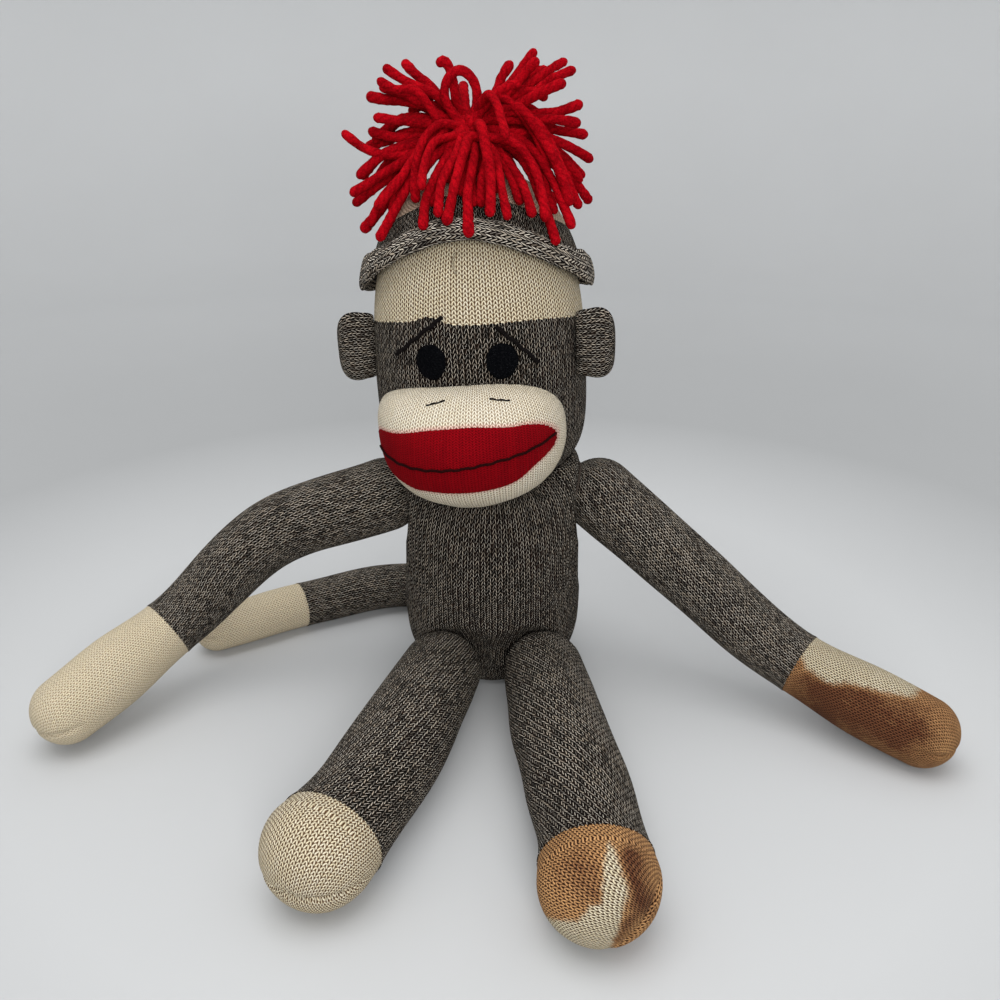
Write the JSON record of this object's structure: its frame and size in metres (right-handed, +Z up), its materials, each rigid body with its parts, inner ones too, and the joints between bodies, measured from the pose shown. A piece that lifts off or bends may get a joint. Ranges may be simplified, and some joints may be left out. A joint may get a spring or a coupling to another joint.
{
  "type": "sock monkey doll",
  "caption": "Seated stuffed doll of marl and cream knit with a red mouth, round ears, a tail and a knitted cap with a red yarn pompom; the head, arms, legs, ears and tail move.",
  "frame": {"origin": "middle of the flat seat under the torso, on the floor that the doll sits on", "axes": "+Z up, the face looks along -Y, +X to the doll's own left, along its spread arms"},
  "size_m": [0.442, 0.2926, 0.313],
  "materials": {
    "marl_knit": "knitted, dark brown flecked with cream",
    "cream_knit": "knitted, matte",
    "red_knit": "knitted, matte",
    "red_yarn": "plied yarn, slightly fuzzy",
    "black_felt": "felt, matte",
    "dark_thread": "embroidery thread",
    "sewing_thread": "sewing thread"
  },
  "bodies": {
    "torso": {"torso": "marl_knit", "tail_seam_thread": "sewing_thread"},
    "neck_thread": {"neck_thread": "sewing_thread"},
    "head": {"head_face": "marl_knit", "head_top": "cream_knit", "muzzle": "cream_knit", "mouth_patch": "red_knit", "mouth_line": "dark_thread", "nostril_left": "dark_thread", "nostril_right": "dark_thread", "eye_left": "black_felt", "eye_right": "black_felt", "eyebrow_left": "dark_thread", "eyebrow_right": "dark_thread", "cap_band": "marl_knit", "cap_brim": "marl_knit", "cap_crown": "cream_knit", "pompom": "red_yarn"},
    "ear_left": {"ear_left": "marl_knit"},
    "ear_right": {"ear_right": "marl_knit"},
    "shoulder_left_thread": {"shoulder_left_seam_thread": "sewing_thread"},
    "shoulder_right_thread": {"shoulder_right_seam_thread": "sewing_thread"},
    "arm_left": {"sleeve_left": "marl_knit", "hand_left": "cream_knit"},
    "arm_right": {"sleeve_right": "marl_knit", "hand_right": "cream_knit"},
    "leg_left": {"leg_left": "marl_knit", "foot_left": "cream_knit"},
    "leg_right": {"leg_right": "marl_knit", "foot_right": "cream_knit"},
    "tail": {"tail": "marl_knit", "tail_tip": "cream_knit"}
  },
  "joints": [
    {"name": "neck_turn", "type": "hinge", "parent": "torso", "child": "neck_thread", "pos_m": [-0.004, 0, 0.138], "axis": [0, 0, 1], "range_deg": [-20, 20], "stiffness_Nm_per_rad": 0.4},
    {"name": "neck_nod", "type": "hinge", "parent": "neck_thread", "child": "head", "pos_m": [-0.004, 0, 0.138], "axis": [0.9962, -0.0872, 0], "range_deg": [-7, 4], "stiffness_Nm_per_rad": 0.5},
    {"name": "shoulder_left_swing", "type": "hinge", "parent": "torso", "child": "shoulder_left_thread", "pos_m": [0.05579, 0, 0.101], "axis": [0.9703, 0, -0.2419], "range_deg": [-120, 30]},
    {"name": "shoulder_left_raise", "type": "hinge", "parent": "shoulder_left_thread", "child": "arm_left", "pos_m": [0.05579, 0, 0.101], "axis": [0.1606, -0.748, 0.644], "range_deg": [-15, 60]},
    {"name": "shoulder_right_swing", "type": "hinge", "parent": "torso", "child": "shoulder_right_thread", "pos_m": [-0.05579, 0, 0.101], "axis": [-0.9703, 0, -0.2419], "range_deg": [-30, 120]},
    {"name": "shoulder_right_raise", "type": "hinge", "parent": "shoulder_right_thread", "child": "arm_right", "pos_m": [-0.05579, 0, 0.101], "axis": [0.2293, 0.3188, -0.9197], "range_deg": [-15, 60]},
    {"name": "hip_left", "type": "hinge", "parent": "torso", "child": "leg_left", "pos_m": [0.0265, -0.042, 0.02], "axis": [-1, 0, 0], "range_deg": [-80, 40]},
    {"name": "hip_right", "type": "hinge", "parent": "torso", "child": "leg_right", "pos_m": [-0.0265, -0.042, 0.02], "axis": [-1, 0, 0], "range_deg": [-80, 40]},
    {"name": "tail_wag", "type": "hinge", "parent": "torso", "child": "tail", "pos_m": [0, 0.0455, 0.0135], "axis": [0, 0, 1], "range_deg": [-120, 0]},
    {"name": "ear_left_fold", "type": "hinge", "parent": "head", "child": "ear_left", "pos_m": [0.04802, -0.02061, 0.18188], "axis": [-0.0435, 0.0038, 0.999], "range_deg": [-20, 20], "stiffness_Nm_per_rad": 0.02},
    {"name": "ear_right_fold", "type": "hinge", "parent": "head", "child": "ear_right", "pos_m": [-0.06241, -0.01095, 0.17704], "axis": [-0.0435, 0.0038, 0.999], "range_deg": [-20, 20], "stiffness_Nm_per_rad": 0.02}
  ]
}
